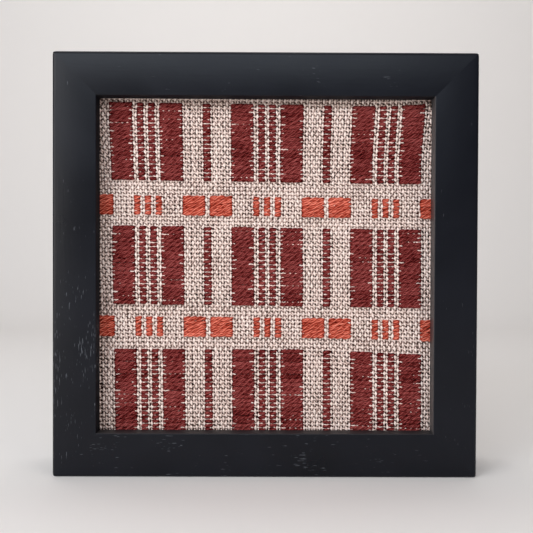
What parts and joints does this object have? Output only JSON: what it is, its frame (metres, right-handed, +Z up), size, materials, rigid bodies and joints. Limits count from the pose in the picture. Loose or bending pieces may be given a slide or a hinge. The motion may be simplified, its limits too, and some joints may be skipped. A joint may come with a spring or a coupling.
{
  "type": "handwoven overshot cloth panel in a wooden box frame",
  "caption": "Square black wooden box frame, held by a wall, around a flat handwoven cotton panel with maroon and orange blocks of pattern weft on a cream plain-weave ground.",
  "frame": {"origin": "middle of the top rail's back face, where the frame meets the wall", "axes": "+Z up, +Y from the cloth's face into the wall, +X to the right as the cloth is looked at"},
  "size_m": [0.15, 0.03, 0.15],
  "materials": {
    "frame_black": "satin black paint over open-grained wood, lightly scratched",
    "cream_cotton": "matte undyed cotton in plain weave, warp and ground weft",
    "maroon_cotton": "soft two-ply dyed pattern weft floating over blocks of warp",
    "orange_cotton": "soft two-ply dyed pattern weft floating over blocks of warp",
    "board_brown": "bare brown hardboard"
  },
  "bodies": {
    "root": {"rail_top": "frame_black", "rail_right": "frame_black", "rail_bottom": "frame_black", "rail_left": "frame_black", "cloth": "cream_cotton", "backing_board": "board_brown"}
  },
  "joints": []
}
